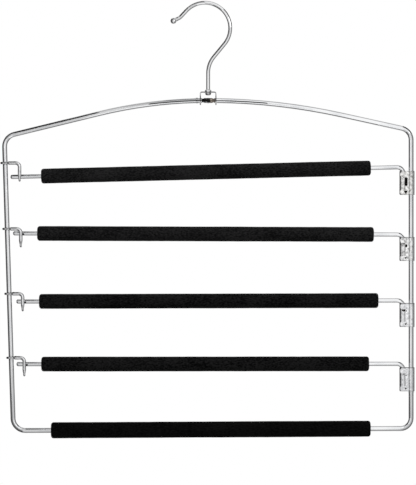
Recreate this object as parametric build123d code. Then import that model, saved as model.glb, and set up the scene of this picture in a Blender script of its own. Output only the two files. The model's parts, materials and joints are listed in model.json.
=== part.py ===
from build123d import *

import math
import os

# Trouser hanger with five tiers, in millimetres.
# A bent wire frame turns on a swivelling hook. Four padded arms swing on the frame's right upright
# and lie behind small wire catches on its left one. The fifth tier is the frame's own bottom bar.
# The frame lies in the XZ plane with X to the right and Z up, and is seen from the -Y side.
# The origin is the centre of the hook's crook.

# Wire and sheet
frame_wire_diameter = 4.6
arm_wire_diameter = 4.0
hook_wire_diameter = 3.6
catch_wire_diameter = 3.3
bracket_sheet = 0.8
saddle_sheet = 1.0
wire_end_share = 0.9

# Clearances
hinge_clearance = 0.08
swivel_clearance = 0.08
end_play = 0.1
arm_fit_clearance = 0.05
sleeve_fit_clearance = 0.05
saddle_hole_clearance = 0.15
catch_clearance = 0.35
cut_overrun = 1.0

# Hook, on the wire's centreline
crook_radius = 23.4
crook_tip_angle = 137.0
stem_offset = 3.0
throat_lean = 39.5
neck_radius = 22.9
flare_run = 7.1
flare_radius = 8.0
flare_turn = 20.0
tip_length = 5.5
tip_ball_diameter = 5.5
collar_diameter = 6.0
collar_height = 1.9
rivet_head_diameter = 5.6
rivet_head_height = 2.3

# Saddle that carries the frame under the hook
saddle_width = 15.4
saddle_rise = 8.1
saddle_eye_diameter = 8.4
saddle_corner_radius = 2.0

# Frame, on the wire's centreline and from the stem's axis
frame_drop = 67.1
frame_height_left = 305.2
frame_height_right = 303.3
half_width_left_top = 188.5
half_width_left_bottom = 180.1
half_width_right = 187.7
shoulder_arc_left = 425.0
shoulder_arc_right = 575.0
shoulder_slope_left = 13.7
shoulder_slope_right = 12.4
corner_radius_top_left = 11.5
corner_radius_bottom_left = 11.5
corner_radius_top_right = 11.0
corner_radius_bottom_right = 9.8

# Pinches and beads on the frame wire
butt_gap = 0.3
pinch_thickness = 3.4
pinch_flank_thickness = 2.6
pinch_length = 3.0
pinch_proud = 0.8
pinch_inset = 0.3
bead_proud = 0.35
bead_length = 1.8
bead_offset = 2.7
bead_chamfer_share = 0.5
stop_proud = 0.4
stop_thickness = 1.8
stop_height = 1.6

# Tiers from the top down. The shares say how far down each upright an arm's axis meets it.
arm_hinge_shares = (0.2024, 0.4088, 0.6096, 0.8028)
arm_rest_shares = (0.232, 0.4024, 0.6091, 0.7988)
arm_tip_gaps = (2.15, 2.9, 4.0, 2.4)
sleeve_left_margins = (32.9, 27.7, 27.5, 27.7)
sleeve_right_margins = (37.3, 34.5, 30.3, 38.9)

# Arm wire's turned-down end
arm_end_offset = 7.1
arm_end_length = 19.3
arm_bend_radius = 6.0

# Foam sleeves
arm_sleeve_diameter = 13.65
bar_sleeve_diameter = 14.8
bar_sleeve_left_margin = 34.8
bar_sleeve_right_margin = 37.5
sleeve_end_radius = 2.6

# Hinge brackets. A lid is the height of the arm's axis over the bracket's top edge.
bracket_lids = (3.6, 2.3, 2.4, 3.3)
bracket_height = 22.0
bracket_flange = 0.85
bracket_leaf_depth = 4.4
bracket_fold_radius = 2.0
bracket_corner_radius = 1.0
bracket_seam = 0.3
band_width = 6.6
band_height = 4.4
band_proud = 0.4
band_round = 0.35
clinch_diameter = 2.1
clinch_depth = 0.3
bracket_seam_share = 0.27
band_place_shares = (0.15, 0.88)
clinch_shares = (1.17, 0.9)

# Openings in a bracket's front, which the press leaves larger or smaller from tier to tier.
# The fold gap lies between barrel and arm, the foot gap under it and the moon slot over the arm.
fold_gap_widths = (3.0, 2.0, 1.0, 0.9)
foot_gap_widths = (4.4, 2.7, 2.6, 2.6)
moon_slot_widths = (1.0, 2.2, 3.9, 1.5)
fold_gap_top_shares = (0.265, 0.3, 0.3, 0.31)
fold_gap_bottom_shares = (0.63, 0.43, 0.36, 0.36)
fold_gap_place_share = 0.65
foot_gap_shares = (0.73, 0.875)
moon_slot_share = 0.265

# Catches. A rise is from the arm's axis up to the catch's run, and a drop is the free
# space between the arm and the catch's foot.
catch_reaches = (13.2, 12.7, 12.5, 12.2)
catch_rises = (12.6, 4.1, 7.2, 6.0)
catch_drops = (0.6, 9.0, 5.1, 7.2)
catch_nib_diameter = 2.0
catch_nib_length = 1.9
catch_neck_length = 1.4
catch_bend_radius = 3.6
catch_taper_length = 3.4
catch_foot_diameter = 2.0
catch_foot_bend_radius = 1.5
weld_diameter = 1.7

frame_radius = frame_wire_diameter / 2
arm_radius = arm_wire_diameter / 2
hook_radius = hook_wire_diameter / 2
catch_radius = catch_wire_diameter / 2
foot_radius = catch_foot_diameter / 2
frame_top_z = -frame_drop
upright_x = stem_offset + half_width_right
catch_y = -(frame_radius + catch_radius)
arm_y = max(catch_clearance + arm_radius - frame_radius, 0)
lobe_radius = arm_radius + arm_fit_clearance + bracket_sheet
bracket_reach = arm_end_offset + lobe_radius + bracket_flange


def bent_wire(centreline, diameter):
    """Round wire swept along a centreline whose runs and arcs are tangent."""
    path = Wire(centreline.edges())
    section = Plane(origin=path @ 0, z_dir=path % 0) * Circle(diameter / 2)
    return sweep(section, path=path)


def upright(outline):
    """Turn a flat outline so that its X and Y become the hanger's X and Z."""
    return Plane.XZ * outline


def shoulder_corner(half_width, arc_radius, slope):
    """Arc's end and upright's corner of one shoulder, outward and down from the frame's top."""
    angle = math.radians(slope)
    arc_end = (arc_radius * math.sin(angle), -arc_radius * (1 - math.cos(angle)))
    drop = (half_width - arc_end[0]) * math.tan(angle)
    return arc_end, (half_width, arc_end[1] - drop)


def left_corners():
    """Top and bottom corners of the left upright's centreline, in X and Z."""
    corner = shoulder_corner(half_width_left_top, shoulder_arc_left, shoulder_slope_left)[1]
    top = (stem_offset - corner[0], frame_top_z + corner[1])
    bottom = (stem_offset - half_width_left_bottom, frame_top_z - frame_height_left)
    return top, bottom


def left_upright_x(z):
    """X of the left upright's centreline at one height."""
    top, bottom = left_corners()
    return bottom[0] + (top[0] - bottom[0]) * (z - bottom[1]) / (top[1] - bottom[1])


def frame_centreline():
    """Closed outline of the frame, from the saddle round to the saddle again."""
    left_end, left_corner = shoulder_corner(
        half_width_left_top, shoulder_arc_left, shoulder_slope_left)
    right_end, right_corner = shoulder_corner(
        half_width_right, shoulder_arc_right, shoulder_slope_right)
    runs = FilletPolyline(
        right_end,
        right_corner,
        (half_width_right, -frame_height_right),
        (-half_width_left_bottom, -frame_height_left),
        (-left_corner[0], left_corner[1]),
        (-left_end[0], left_end[1]),
        radius=[
            corner_radius_top_right,
            corner_radius_bottom_right,
            corner_radius_bottom_left,
            corner_radius_top_left,
        ],
    )
    right_arc = CenterArc((0, -shoulder_arc_right), shoulder_arc_right, 90, -shoulder_slope_right)
    left_arc = CenterArc((0, -shoulder_arc_left), shoulder_arc_left, 90, shoulder_slope_left)
    outline = right_arc + runs + left_arc
    return Pos(stem_offset, 0, frame_top_z) * upright(outline)


def bracket_top_z(tier):
    """Height of a bracket's top edge."""
    return arm_axis_z(tier, upright_x - arm_end_offset) - bracket_lids[tier]


def wire_pinch(x):
    """Flattened lock on the frame wire inside the saddle, and the two dents that make it."""
    place = Pos(x, 0, frame_top_z)
    ear = Ellipse(pinch_length / 2, frame_radius + pinch_proud)
    ear = extrude(ear, pinch_flank_thickness / 2, both=True)
    dent = Rot(90, 0, 0) * Cylinder(pinch_length / 2, frame_wire_diameter)
    dent_z = (pinch_thickness + pinch_length) / 2
    return place * ear, place * (Pos(0, 0, dent_z) * dent + Pos(0, 0, -dent_z) * dent)


def upright_stop(tier):
    """Pair of pinched ears under a bracket, which carry it on the right upright."""
    ring = Cylinder(frame_radius + stop_proud, stop_height)
    slab = Box(frame_wire_diameter + 2 * stop_proud, stop_thickness, stop_height)
    z = bracket_top_z(tier) - bracket_height - end_play - stop_height / 2
    return Pos(upright_x, 0, z) * (ring & slab)


def make_frame_wire():
    """Frame bent from one wire, its ends butted and pinched inside the saddle."""
    frame = bent_wire(frame_centreline(), frame_wire_diameter)
    inner_face = saddle_width / 2 - saddle_sheet
    pinch_x = inner_face - pinch_inset - pinch_length / 2
    for side in (-1, 1):
        ear, dents = wire_pinch(stem_offset + side * pinch_x)
        frame = frame + ear - dents
    bead_x = stem_offset - saddle_width / 2 - bead_offset
    bead = Rot(0, 90, 0) * Cylinder(frame_radius + bead_proud, bead_length)
    bead = chamfer(bead.edges().filter_by(GeomType.CIRCLE), bead_proud * bead_chamfer_share)
    frame += Pos(bead_x, 0, frame_top_z) * bead
    for tier in range(len(arm_hinge_shares)):
        frame += upright_stop(tier)
    gap = Box(butt_gap, frame_wire_diameter * 2, frame_wire_diameter * 2)
    return frame - Pos(stem_offset, 0, frame_top_z) * gap


def make_hook():
    """Swivelling hook with a ball tip, a swaged collar and a riveted end under the saddle."""
    crook = CenterArc((0, 0), crook_radius, crook_tip_angle, -crook_tip_angle - throat_lean)
    run = Line(crook @ 0, (crook @ 0) - (crook % 0) * flare_run)
    flare = JernArc(run @ 1, run % 1, flare_radius, -flare_turn)
    tip = Line(flare @ 1, (flare @ 1) + (flare % 1) * tip_length)
    throat_start = crook @ 1
    neck_z = throat_start.Y - (throat_start.X - stem_offset) / math.tan(math.radians(throat_lean))
    plate_z = frame_top_z + saddle_rise
    head_top_z = plate_z - saddle_sheet - end_play
    stem = FilletPolyline(
        throat_start,
        (stem_offset, neck_z),
        (stem_offset, head_top_z - rivet_head_height / 2),
        radius=neck_radius,
    )
    wire = bent_wire(upright(tip + flare + run + crook + stem), hook_wire_diameter)
    ball_place = tip @ 1
    ball = Pos(ball_place.X, 0, ball_place.Y) * Sphere(tip_ball_diameter / 2)
    collar = Cylinder(collar_diameter / 2, collar_height)
    upper_rim = collar.edges().group_by(Axis.Z)[-1]
    collar = chamfer(upper_rim, (collar_diameter - hook_wire_diameter) / 3)
    collar = Pos(stem_offset, 0, plate_z + end_play + collar_height / 2) * collar
    head = Cylinder(rivet_head_diameter / 2, rivet_head_height)
    head = fillet(head.edges().group_by(Axis.Z)[0], min(rivet_head_height, rivet_head_diameter / 2) * 0.8)
    head = Pos(stem_offset, 0, head_top_z - rivet_head_height / 2) * head
    return wire + ball + collar + head


def make_saddle():
    """Inverted U of strip steel. The hook turns in its plate and the frame wire runs through its legs."""
    leg_bottom = saddle_eye_diameter / 2
    height = saddle_rise + leg_bottom
    middle_z = (saddle_rise - leg_bottom) / 2
    outer = Box(saddle_width, saddle_eye_diameter, height)
    top_edges = outer.edges().filter_by(Axis.Y).group_by(Axis.Z)[-1]
    outer = fillet(top_edges, saddle_corner_radius)
    inner = Box(saddle_width - 2 * saddle_sheet, saddle_eye_diameter + cut_overrun, height)
    top_edges = inner.edges().filter_by(Axis.Y).group_by(Axis.Z)[-1]
    inner = fillet(top_edges, max(saddle_corner_radius - saddle_sheet, saddle_sheet / 2))
    strip = Pos(0, 0, middle_z) * (outer - Pos(0, 0, -saddle_sheet) * inner)
    eye = Rot(0, 90, 0) * Cylinder(saddle_eye_diameter / 2, saddle_width)
    above = Pos(0, 0, saddle_rise / 2) * Box(saddle_width, saddle_eye_diameter, saddle_rise)
    strip = strip & (eye + above)
    wire_hole = Cylinder(frame_radius + saddle_hole_clearance, saddle_width + cut_overrun)
    stem_hole = Cylinder(hook_radius + swivel_clearance, saddle_sheet + cut_overrun)
    strip -= Rot(0, 90, 0) * wire_hole
    strip -= Pos(0, 0, saddle_rise - saddle_sheet / 2) * stem_hole
    return Pos(stem_offset, 0, frame_top_z) * strip


def arm_rest_place(tier):
    """X and Z where an arm's axis, drawn on past its tip, meets the left upright."""
    z = frame_top_z - frame_height_left * arm_rest_shares[tier]
    return left_upright_x(z), z


def arm_axis_z(tier, x):
    """Height of an arm's axis at one X."""
    hinge_z = frame_top_z - frame_height_right * arm_hinge_shares[tier]
    rest_x, rest_z = arm_rest_place(tier)
    return hinge_z - (hinge_z - rest_z) * (upright_x - x) / (upright_x - rest_x)


def arm_tip_x(tier):
    """X of an arm wire's free tip."""
    return arm_rest_place(tier)[0] + frame_radius + arm_tip_gaps[tier]


def arm_centreline(tier, end_length):
    """Arm wire's axis from its free tip to the end that turns down into the bracket."""
    start_x = arm_tip_x(tier)
    corner_x = upright_x - arm_end_offset
    corner_z = arm_axis_z(tier, corner_x)
    return Pos(0, arm_y, 0) * upright(FilletPolyline(
        (start_x, arm_axis_z(tier, start_x)),
        (corner_x, corner_z),
        (corner_x, corner_z - end_length),
        radius=arm_bend_radius,
    ))


def make_arm_wire(tier):
    """Arm wire with rounded ends."""
    wire = bent_wire(arm_centreline(tier, arm_end_length), arm_wire_diameter)
    ends = wire.faces().filter_by(GeomType.PLANE)
    return fillet(ends.edges(), arm_radius * wire_end_share)


def foam_sleeve(start, end, outer_diameter, wire_diameter):
    """Foam tube with rounded rims between two points of a wire's axis."""
    axis = Vector(*end) - Vector(*start)
    tube = Cylinder(outer_diameter / 2, axis.length)
    rims = tube.edges().filter_by(GeomType.CIRCLE)
    tube = fillet(rims, sleeve_end_radius)
    tube -= Cylinder(wire_diameter / 2 + sleeve_fit_clearance, axis.length + cut_overrun)
    middle = Vector(*start) + axis / 2
    return Plane(origin=middle, z_dir=axis) * tube


def make_arm_sleeve(tier):
    """Foam sleeve of one arm."""
    left_x = arm_rest_place(tier)[0] + sleeve_left_margins[tier]
    right_x = upright_x - sleeve_right_margins[tier]
    start = (left_x, arm_y, arm_axis_z(tier, left_x))
    end = (right_x, arm_y, arm_axis_z(tier, right_x))
    return foam_sleeve(start, end, arm_sleeve_diameter, arm_wire_diameter)


def bottom_bar_z(x):
    """Height of the bottom bar's axis at one X."""
    left = (stem_offset - half_width_left_bottom, frame_top_z - frame_height_left)
    right = (upright_x, frame_top_z - frame_height_right)
    return left[1] + (right[1] - left[1]) * (x - left[0]) / (right[0] - left[0])


def make_bar_sleeve():
    """Thicker foam sleeve of the frame's bottom bar."""
    left_x = stem_offset - half_width_left_bottom + bar_sleeve_left_margin
    right_x = upright_x - bar_sleeve_right_margin
    start = (left_x, 0, bottom_bar_z(left_x))
    end = (right_x, 0, bottom_bar_z(right_x))
    return foam_sleeve(start, end, bar_sleeve_diameter, frame_wire_diameter)


def bracket_plan(inset):
    """Bracket's plan drawn in by an inset: barrel, lobe over the arm's end and flat leaves."""
    barrel = Circle(frame_radius + hinge_clearance + bracket_sheet - inset)
    lobe = Circle(lobe_radius - inset)
    leaf_length = bracket_reach - inset
    leaf = RectangleRounded(leaf_length * 2, bracket_leaf_depth - 2 * inset,
                            max(bracket_fold_radius - inset, bracket_sheet / 4))
    left_half = Pos(-leaf_length / 2 - cut_overrun / 2, 0) * Rectangle(
        leaf_length + cut_overrun, bracket_leaf_depth)
    return barrel + Pos(-arm_end_offset, arm_y) * lobe + (leaf & left_half)


def front_cut(outline, x_share, z_share):
    """Cut through the bracket's front leaf. The shares are of the arm's offset and of the height."""
    depth = bracket_leaf_depth + 2 * bracket_sheet
    return Pos(-arm_end_offset * x_share, 0, -bracket_height * z_share) * extrude(
        upright(outline), depth)


def front_band(z_share):
    """Raised band pressed out of the bracket's front across the arm's end."""
    outline = RectangleRounded(band_width, band_height, band_height / 3)
    band = extrude(upright(outline), lobe_radius - arm_y + band_proud)
    band = fillet(band.faces().sort_by(Axis.Y)[0].edges(), band_round)
    return Pos(-arm_end_offset, 0, -bracket_height * z_share) * band


def bracket_front():
    """Bracket's front outline, with a large radius only at its lower left corner."""
    front = Rectangle(bracket_reach * 2, bracket_height)
    lower = front.vertices().group_by(Axis.X)[0].sort_by(Axis.Y)[0]
    front = fillet(lower, bracket_corner_radius)
    upper = front.vertices().sort_by(Axis.Y)[-2:].sort_by(Axis.X)[0]
    return fillet(upper, bracket_sheet)


def bracket_piercings(tier):
    """Openings through one bracket's front leaf."""
    moon_width = moon_slot_widths[tier]
    moon = Circle(moon_width / 2) & Pos(0, -moon_width / 2) * Rectangle(moon_width, moon_width)
    top, bottom = fold_gap_top_shares[tier], fold_gap_bottom_shares[tier]
    fold_gap = Rot(0, 0, 90) * SlotOverall(bracket_height * (bottom - top), fold_gap_widths[tier])
    foot_gap = RegularPolygon(foot_gap_widths[tier] / 2, 3, rotation=-90)
    cuts = front_cut(moon, 1, moon_slot_share)
    cuts += front_cut(fold_gap, fold_gap_place_share, (top + bottom) / 2)
    return cuts + front_cut(foot_gap, *foot_gap_shares)


def clinch_mark():
    """Shallow round mark in the front of the lower band."""
    clinch_y = -(lobe_radius - arm_y + band_proud - clinch_depth)
    return Pos(0, clinch_y, 0) * front_cut(Circle(clinch_diameter / 2), *clinch_shares)


def make_bracket_blank():
    """Folded and pressed sheet bracket, from the hinge axis at its top edge downwards."""
    middle = Pos(0, 0, -bracket_height / 2)
    shell = middle * extrude(bracket_plan(0), bracket_height / 2, both=True)
    for share in band_place_shares:
        shell += front_band(share)
    shell &= middle * extrude(upright(bracket_front()), bracket_leaf_depth * 2, both=True)
    cavity = extrude(bracket_plan(bracket_sheet), bracket_height / 2 + cut_overrun, both=True)
    shell -= middle * cavity
    shell -= clinch_mark()
    seam = Box(bracket_seam, bracket_leaf_depth, bracket_height + cut_overrun)
    return shell - middle * Pos(-bracket_reach * bracket_seam_share, bracket_leaf_depth / 2, 0) * seam


def make_bracket(tier, blank):
    """Bracket of one arm, on the right upright, pierced and opened where the arm runs into it."""
    bend = arm_centreline(tier, arm_bend_radius + cut_overrun)
    throat = bent_wire(bend, arm_wire_diameter + 4 * arm_fit_clearance)
    return Pos(upright_x, 0, bracket_top_z(tier)) * (blank - bracket_piercings(tier)) - throat


def catch_nib(upright_place_x, run_z):
    """Thin end of a catch, which crosses the upright and is welded to it."""
    neck_end = upright_place_x + frame_radius + catch_neck_length
    nib_start = upright_place_x - frame_radius - catch_nib_length
    nib_length = neck_end - catch_neck_length - nib_start
    nib = Cylinder(catch_nib_diameter / 2, nib_length)
    nib = fillet(nib.edges().group_by(Axis.Z)[0], catch_nib_diameter / 2 * wire_end_share)
    nib = Rot(0, 90, 0) * nib
    neck = Rot(0, 90, 0) * Cone(catch_nib_diameter / 2, catch_radius, catch_neck_length)
    end = Pos(nib_start + nib_length / 2, catch_y, run_z) * nib
    end += Pos(neck_end - catch_neck_length / 2, catch_y, run_z) * neck
    weld_length = -catch_y
    weld = Rot(90, 0, 0) * Cylinder(weld_diameter / 2, weld_length)
    return end + Pos(upright_place_x, -weld_length / 2, run_z) * weld, neck_end


def make_catch(tier, frame_wire):
    """Catch welded across the left upright. Its leg stands in front of the arm, its foot under it."""
    leg_x = arm_rest_place(tier)[0] + catch_reaches[tier]
    axis_z = arm_axis_z(tier, leg_x)
    run_z = axis_z + catch_rises[tier]
    foot_z = axis_z - arm_radius - catch_drops[tier] - foot_radius
    nib, neck_end = catch_nib(left_upright_x(run_z), run_z)
    taper_bottom = foot_z + catch_foot_bend_radius
    taper_top = taper_bottom + catch_taper_length
    bend = FilletPolyline((neck_end, run_z), (leg_x, run_z), (leg_x, taper_top),
                          radius=catch_bend_radius)
    catch = nib + Pos(0, catch_y, 0) * bent_wire(upright(bend), catch_wire_diameter)
    taper = Cone(foot_radius, catch_radius, catch_taper_length)
    catch += Pos(leg_x, catch_y, (taper_top + taper_bottom) / 2) * taper
    foot_line = Plane.YZ * FilletPolyline((catch_y, taper_bottom), (catch_y, foot_z),
                                          (arm_y + arm_radius + foot_radius, foot_z),
                                          radius=catch_foot_bend_radius * 0.9)
    foot = bent_wire(foot_line, catch_foot_diameter)
    foot_tip = foot.faces().sort_by(Axis.Y)[-1]
    foot = fillet(foot_tip.edges(), foot_radius * wire_end_share)
    catch += Pos(leg_x, 0, 0) * foot
    return catch - frame_wire


def make_parts():
    """Every piece of the hanger under its name."""
    frame_wire = make_frame_wire()
    bracket_blank = make_bracket_blank()
    parts = {
        "frame_wire": frame_wire,
        "hook": make_hook(),
        "hook_saddle": make_saddle(),
        "bottom_bar_sleeve": make_bar_sleeve(),
    }
    for tier in range(len(arm_hinge_shares)):
        number = tier + 1
        parts[f"arm_wire_{number}"] = make_arm_wire(tier)
        parts[f"arm_sleeve_{number}"] = make_arm_sleeve(tier)
        parts[f"hinge_bracket_{number}"] = make_bracket(tier, bracket_blank)
        parts[f"arm_catch_{number}"] = make_catch(tier, frame_wire)
    return parts


os.makedirs("parts", exist_ok=True)
for name, solid in make_parts().items():
    export_step(solid, f"parts/{name}.step")
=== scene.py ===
"""Looks of a five tier trouser hanger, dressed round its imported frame.

The plated wires and brackets are the frame's own nodes with procedural finishes. The foam
sleeves and the weld beads are modelled here. Lengths are in metres, in the frame's own axes.
"""

from __future__ import annotations

import json
import logging
import math
from dataclasses import dataclass
from enum import Enum

import bmesh
import bpy
from mathutils import Matrix, Vector, noise

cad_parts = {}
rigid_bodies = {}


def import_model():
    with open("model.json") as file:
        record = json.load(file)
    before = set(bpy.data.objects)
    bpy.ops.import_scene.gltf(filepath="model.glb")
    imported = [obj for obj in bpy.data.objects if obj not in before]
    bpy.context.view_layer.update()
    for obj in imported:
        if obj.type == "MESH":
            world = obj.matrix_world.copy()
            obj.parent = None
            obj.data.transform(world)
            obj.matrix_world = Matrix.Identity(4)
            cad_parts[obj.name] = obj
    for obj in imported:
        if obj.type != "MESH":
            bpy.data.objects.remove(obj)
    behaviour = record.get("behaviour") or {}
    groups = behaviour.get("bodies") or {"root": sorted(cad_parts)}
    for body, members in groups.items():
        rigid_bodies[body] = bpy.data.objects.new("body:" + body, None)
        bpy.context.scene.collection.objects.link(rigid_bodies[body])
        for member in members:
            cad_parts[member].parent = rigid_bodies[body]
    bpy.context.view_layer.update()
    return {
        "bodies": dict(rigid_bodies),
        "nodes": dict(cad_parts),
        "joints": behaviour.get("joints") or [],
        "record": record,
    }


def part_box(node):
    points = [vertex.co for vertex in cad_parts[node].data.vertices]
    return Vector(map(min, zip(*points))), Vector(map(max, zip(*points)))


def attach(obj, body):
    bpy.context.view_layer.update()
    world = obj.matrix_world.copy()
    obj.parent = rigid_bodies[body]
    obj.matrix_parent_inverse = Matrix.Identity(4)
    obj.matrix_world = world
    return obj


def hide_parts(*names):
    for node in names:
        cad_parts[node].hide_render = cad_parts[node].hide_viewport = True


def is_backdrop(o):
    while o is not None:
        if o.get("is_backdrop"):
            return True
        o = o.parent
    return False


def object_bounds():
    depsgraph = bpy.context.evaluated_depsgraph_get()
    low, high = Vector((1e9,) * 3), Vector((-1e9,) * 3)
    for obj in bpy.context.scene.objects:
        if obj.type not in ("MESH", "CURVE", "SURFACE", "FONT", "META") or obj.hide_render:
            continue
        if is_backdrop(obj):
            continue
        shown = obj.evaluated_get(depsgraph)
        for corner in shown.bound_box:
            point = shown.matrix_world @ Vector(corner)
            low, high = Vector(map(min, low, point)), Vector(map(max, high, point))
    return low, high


Triple = tuple[float, float, float]

LOG = logging.getLogger("hanger")
MM = 0.001
HAIR = MM / 1000  # Lengths under this count as nought.
SLACK = MM / 10  # A point this near to a surface counts as lying on it.
ORIGIN = (0.0, 0.0, 0.0)
ALONG_X = (1.0, 0.0, 0.0)
ALONG_Y = (0.0, 1.0, 0.0)
TOWARDS_CAMERA = (0.0, -1.0, 0.0)
WHITE = (1.0, 1.0, 1.0, 1.0)


def mm(x: float, y: float, z: float) -> Triple:
    """Three lengths in millimetres as metres."""
    return (x * MM, y * MM, z * MM)


class Cut(Enum):
    """Which surface of a foam sleeve a face belongs to, as its material slot."""

    SKIN = 0
    END = 1


class Tint(Enum):
    """Colours of the stains on the plating, and of the light and shade painted on it."""

    WELD_STRAW = (0.24, 0.23, 0.22)
    BUTT_BROWN = (0.3, 0.235, 0.175)
    BUTT_BLACK = (0.006, 0.0055, 0.005)
    # Painted shade along the saddle's edges, darker along its plate.
    STRIP_EDGE_SHADE = (0.62, 0.62, 0.63)
    PLATE_EDGE_SHADE = (0.13, 0.13, 0.135)
    # Painted shade on an arm's end inside its bracket.
    ARM_INSIDE_SHADE = (0.03, 0.028, 0.026)
    # Painted shadow of the catch's leg on an arm.
    ARM_LEG_SHADOW = (0.03, 0.03, 0.032)
    BURNT_NIB = (0.003, 0.003, 0.003)
    BURNT_RUN = (0.008, 0.008, 0.008)
    # Painted shade inside a bracket.
    BRACKET_INSIDE_SHADE = (0.012, 0.011, 0.01)
    # Painted shade along a bracket's top edge and its foot.
    TOP_EDGE_SHADE = (0.05, 0.05, 0.052)
    FOOT_EDGE_SHADE = (0.08, 0.08, 0.083)
    # Painted highlight on a bracket's barrel.
    BARREL_HIGHLIGHT = (0.97, 0.97, 0.98)


class Tone(Enum):
    """Brightness of a studio card."""

    SOOT = 0.02
    CHARCOAL = 0.05
    SLATE = 0.16
    STONE = 0.24
    ASH = 0.34
    GREY = 0.46
    PEARL = 0.6


class Side(Enum):
    """Where a studio card stands, as the angles that it spans seen along the camera's line."""

    RIGHT = (-62.0, 28.0)
    RIGHT_CORNER = (18.0, 58.0)
    TOP_RIGHT = (62.0, 90.0)
    TOP_MIDDLE = (90.0, 108.0)
    TOP_LEFT = (108.0, 118.0)
    SHOULDER_LEFT = (114.0, 126.0)
    CROOK_LEFT = (92.0, 130.0)
    LEFT = (118.0, 242.0)
    BOTTOM_LEFT = (242.0, 270.0)
    BOTTOM_RIGHT = (270.0, 298.0)
    SLANT_LEFT = (118.0, 151.0)
    SLANT_RIGHT = (300.0, 340.0)
    SLANT_BELOW = (205.0, 240.0)
    ROUND = (0.0, 360.0)


class NodeSketch:
    """Short way to add and join the nodes of one shader tree."""

    def __init__(self, tree: bpy.types.NodeTree) -> None:
        """Take over the tree of a material, a world or a node group."""
        self.tree = tree

    def add(self, kind: str, **settings: object) -> bpy.types.Node:
        """Add a node.

        Args:
            kind: Name of the node's type.
            **settings: Values of the node's own properties.

        Returns:
            The new node.
        """
        node = self.tree.nodes.new(kind)
        for name, value in settings.items():
            setattr(node, name, value)
        return node

    def join(self, source: object, target: bpy.types.NodeSocket) -> None:
        """Link an output to an input, or give the input a plain value.

        Args:
            source: Output socket or value.
            target: Input socket.
        """
        if isinstance(source, bpy.types.NodeSocket):
            self.tree.links.new(source, target)
        else:
            target.default_value = source

    def feed(self, node: bpy.types.Node, **inputs: object) -> None:
        """Link or set a node's inputs by name, with underscores for spaces."""
        for name, value in inputs.items():
            self.join(value, node.inputs[name.replace("_", " ")])

    def chain(self, kind: str, *inputs: object, **settings: object) -> bpy.types.NodeSocket:
        """Add a node and feed its inputs in their order, except those that it doesn't use.

        Args:
            kind: Name of the node's type.
            *inputs: Output sockets or values.
            **settings: Values of the node's own properties.

        Returns:
            The first output that it uses.
        """
        node = self.add(kind, **settings)
        used = [socket for socket in node.inputs if socket.enabled]
        for source, target in zip(inputs, used):
            self.join(source, target)
        return next(socket for socket in node.outputs if socket.enabled)

    def math(self, operation: str, *numbers: object) -> bpy.types.NodeSocket:
        """Combine numbers or sockets by a Math node's operation."""
        return self.chain("ShaderNodeMath", *numbers, operation=operation)

    def noise(self, place: bpy.types.NodeSocket, scale: object,
              detail: float) -> bpy.types.NodeSocket:
        """Add a noise, with its scale in waves per metre and its number of finer layers."""
        return self.chain("ShaderNodeTexNoise", place, scale, detail)

    def span(self, value: bpy.types.NodeSocket, low: float, high: float, start: float = 0.0,
             stop: float = 1.0) -> bpy.types.NodeSocket:
        """Map a value so that start becomes low and stop becomes high."""
        return self.chain("ShaderNodeMapRange", value, start, stop, low, high)

    def mix(self, share: object, first: object, second: object) -> bpy.types.NodeSocket:
        """Mix two colours or sockets, with the share that the second one has."""
        return self.chain("ShaderNodeMix", share, first, second, data_type="RGBA")


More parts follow.
